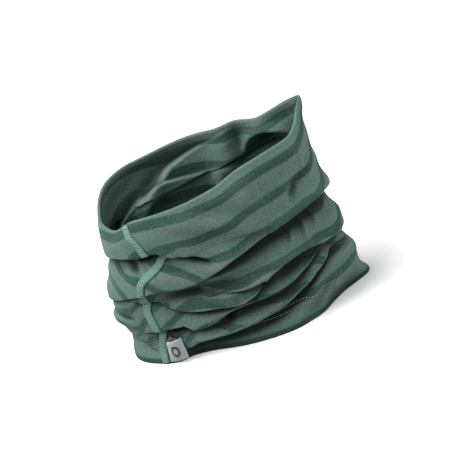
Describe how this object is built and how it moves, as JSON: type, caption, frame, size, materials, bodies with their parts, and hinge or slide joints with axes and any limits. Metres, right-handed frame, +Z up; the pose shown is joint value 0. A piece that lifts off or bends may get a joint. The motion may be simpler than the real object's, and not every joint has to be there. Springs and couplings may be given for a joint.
{
  "type": "neck gaiter",
  "caption": "Soft knitted tube scarf standing scrunched in folds, open through its middle, with a rolled upper edge, a side seam, a stitched hem and a small loop label.",
  "frame": {"origin": "middle of the tube on the surface that the hem stands on", "axes": "+Z up along the tube, +X along the opening's long way towards the high end of the rim, -Y towards the front with the seam and the label at the front left"},
  "size_m": [0.2253, 0.1162, 0.192],
  "materials": {
    "jersey": "matt heathered jersey with tonal stripes",
    "sewing_thread": "soft spun polyester thread",
    "label_satin": "woven satin, slight sheen",
    "label_embroidery": "dark red thread"
  },
  "bodies": {
    "tube": {"fabric_tube": "jersey", "hem_turning": "jersey", "seam_overlap": "jersey", "seam_needle_thread_left": "sewing_thread", "seam_needle_thread_right": "sewing_thread", "seam_cover_thread": "sewing_thread", "seam_looper_thread": "sewing_thread", "hem_needle_thread_lower": "sewing_thread", "hem_needle_thread_upper": "sewing_thread", "hem_looper_thread": "sewing_thread"},
    "edge": {"top_edge": "jersey"},
    "label": {"label_loop": "label_satin", "label_mark": "label_embroidery"}
  },
  "joints": [
    {"name": "edge_pull_up", "type": "slide", "parent": "tube", "child": "edge", "axis": [0, 0, 1], "range_m": [0, 0.08], "deforming": ["fabric_tube"]},
    {"name": "label_flip", "type": "hinge", "parent": "tube", "child": "label", "pos_m": [-0.08175, -0.0394, 0.013], "axis": [0, 0, -1], "range_deg": [0, 150]}
  ]
}
